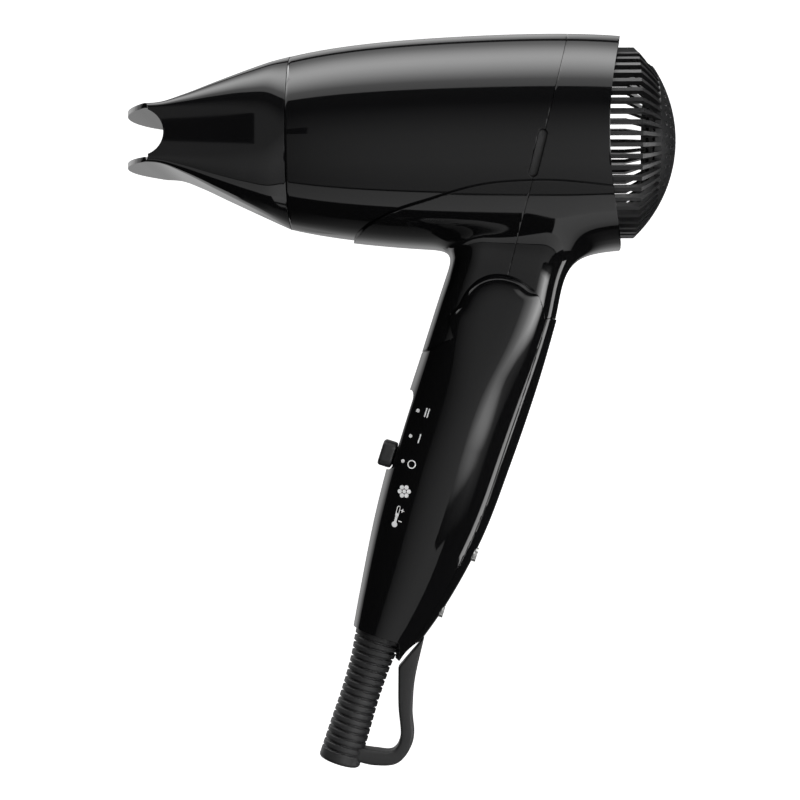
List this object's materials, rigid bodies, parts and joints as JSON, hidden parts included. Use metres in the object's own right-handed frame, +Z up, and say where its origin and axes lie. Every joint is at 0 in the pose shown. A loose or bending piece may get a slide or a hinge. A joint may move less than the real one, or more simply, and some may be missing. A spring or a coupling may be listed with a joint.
{
  "type": "travel hair dryer",
  "caption": "Folding travel hair dryer: barrel with flat nozzle and domed intake grille on a pivoting handle with slide switch, strain relief and hanging loop.",
  "frame": {"origin": "middle of the hand grip, on the dryer's middle plane", "axes": "+Z up along the height of the dryer in use, nozzle towards -X, intake towards +X, +Y across"},
  "size_m": [0.1818, 0.0714, 0.2436],
  "materials": {
    "shell_gloss": "moulded ABS, high gloss black",
    "trim_matt": "fine matt black plastic",
    "rubber": "matt black soft PVC",
    "steel": "plain steel",
    "brass": "plain brass",
    "copper": "copper",
    "mica": "pressed mica sheet",
    "board_green": "glass-epoxy circuit board",
    "heater_wire": "resistance wire",
    "nylon": "glass-filled nylon",
    "component_dark": "component bodies and ferrite",
    "component_pale": "component bodies"
  },
  "bodies": {
    "handle": {"handle_front_shell": "shell_gloss", "handle_back_cover": "shell_gloss", "handle_screws": "steel", "hinge_tube": "steel", "circuit_board": "board_green", "switch_body": "nylon", "switch_contacts": "brass", "suppression_capacitor": "component_pale", "cable_boot": "rubber", "cord_clamp": "nylon", "hanging_loop": "rubber"},
    "barrel": {"upper_front_shell": "shell_gloss", "upper_rear_shell": "shell_gloss", "lower_front_shell": "shell_gloss", "lower_rear_shell": "shell_gloss", "shell_latches": "trim_matt", "rear_grille": "trim_matt", "lint_screen": "steel", "fan_shroud": "nylon", "motor_can": "steel", "motor_end_cap": "trim_matt", "motor_magnets": "component_dark", "motor_brushes": "component_dark", "motor_bearings": "brass", "rectifier_board": "board_green", "rectifier_diodes": "component_dark", "mica_sleeve": "mica", "mica_board_upright": "mica", "mica_board_flat": "mica", "heater_coil_main": "heater_wire", "heater_coil_motor": "heater_wire", "thermostat": "component_pale", "thermal_fuse": "component_pale", "outlet_spigot": "trim_matt", "outlet_grille": "steel", "hinge_washers": "brass"},
    "rotor": {"impeller": "nylon", "motor_shaft": "steel", "armature_core": "steel", "armature_windings": "copper", "commutator": "copper"},
    "nozzle_ring": {"nozzle_grip_ring": "trim_matt"},
    "nozzle": {"nozzle": "shell_gloss"},
    "knob": {"switch_knob": "trim_matt", "contact_slider": "nylon"}
  },
  "joints": [
    {"name": "handle_fold", "type": "hinge", "parent": "handle", "child": "barrel", "pos_m": [0.01633, 0, 0.04933], "axis": [0, -1, 0], "range_deg": [0, 68]},
    {"name": "fan_spin", "type": "hinge", "parent": "barrel", "child": "rotor", "pos_m": [0.02, 0, 0.1088], "axis": [1, 0, 0], "continuous": true},
    {"name": "nozzle_pull", "type": "slide", "parent": "barrel", "child": "nozzle_ring", "axis": [-1, 0, 0], "range_m": [0, 0.02]},
    {"name": "nozzle_turn", "type": "hinge", "parent": "nozzle_ring", "child": "nozzle", "pos_m": [-0.056, 0, 0.1088], "axis": [1, 0, 0], "continuous": true},
    {"name": "switch_slide", "type": "slide", "parent": "handle", "child": "knob", "axis": [0.3007, 0, 0.9537], "range_m": [0, 0.0177]}
  ]
}
